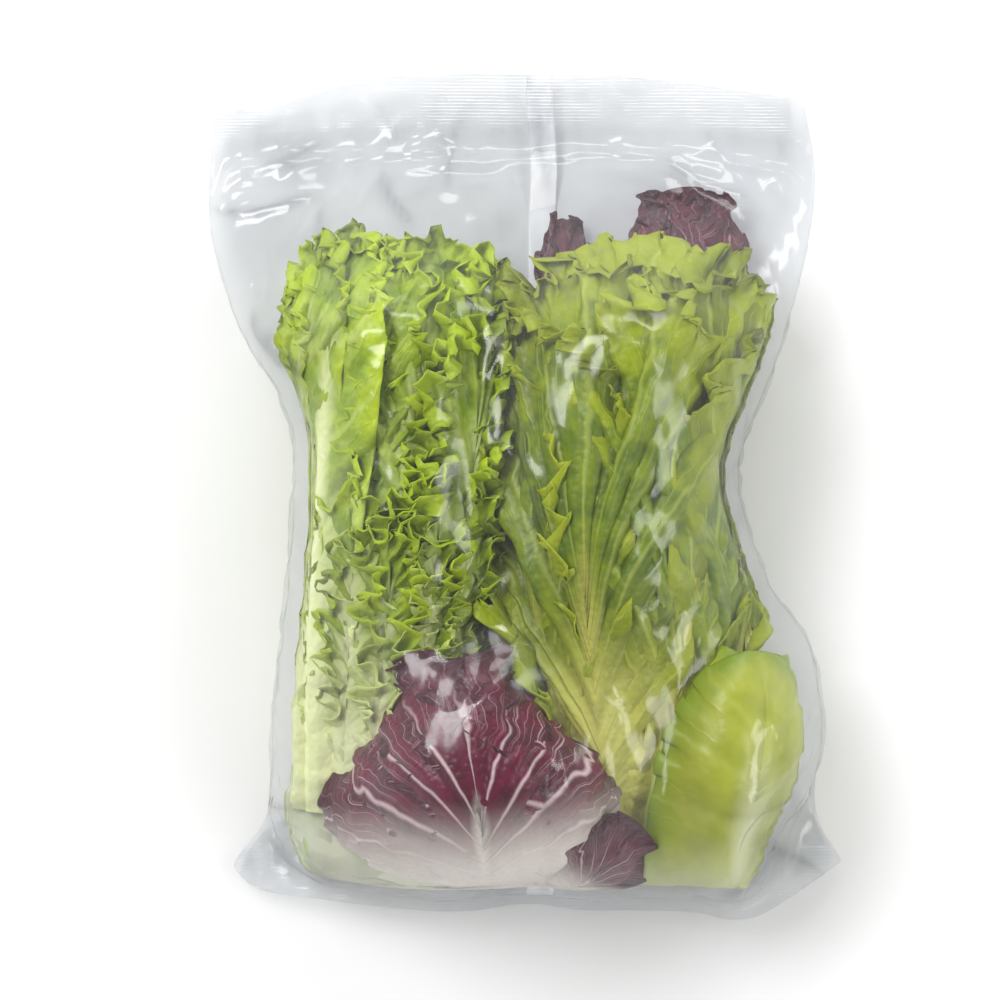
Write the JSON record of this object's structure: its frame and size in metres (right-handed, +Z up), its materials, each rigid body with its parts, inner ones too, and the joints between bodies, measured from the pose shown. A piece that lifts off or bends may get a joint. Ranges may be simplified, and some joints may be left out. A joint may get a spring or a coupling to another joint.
{
  "type": "bag of salad heads",
  "caption": "Clear sealed film bag swollen by whole salad heads, lying on its back, with flat ends and flattened ears at the bottom corners.",
  "frame": {"origin": "on the surface that the bag lies on, under the middle of its outline", "axes": "+Y from the bottom seal to the top seal, +X to the right of the front, +Z up out of the front"},
  "size_m": [0.24, 0.322, 0.0925],
  "materials": {
    "clear_film": "clear, slightly hazy and crinkled",
    "frilled_leaf": "waxy frilled green leaf with pale ribs",
    "red_leaf": "waxy burgundy leaf with white veins",
    "pale_leaf": "smooth pale yellow-green leaf"
  },
  "bodies": {
    "root": {"salad_bag": "clear_film"}
  },
  "joints": []
}
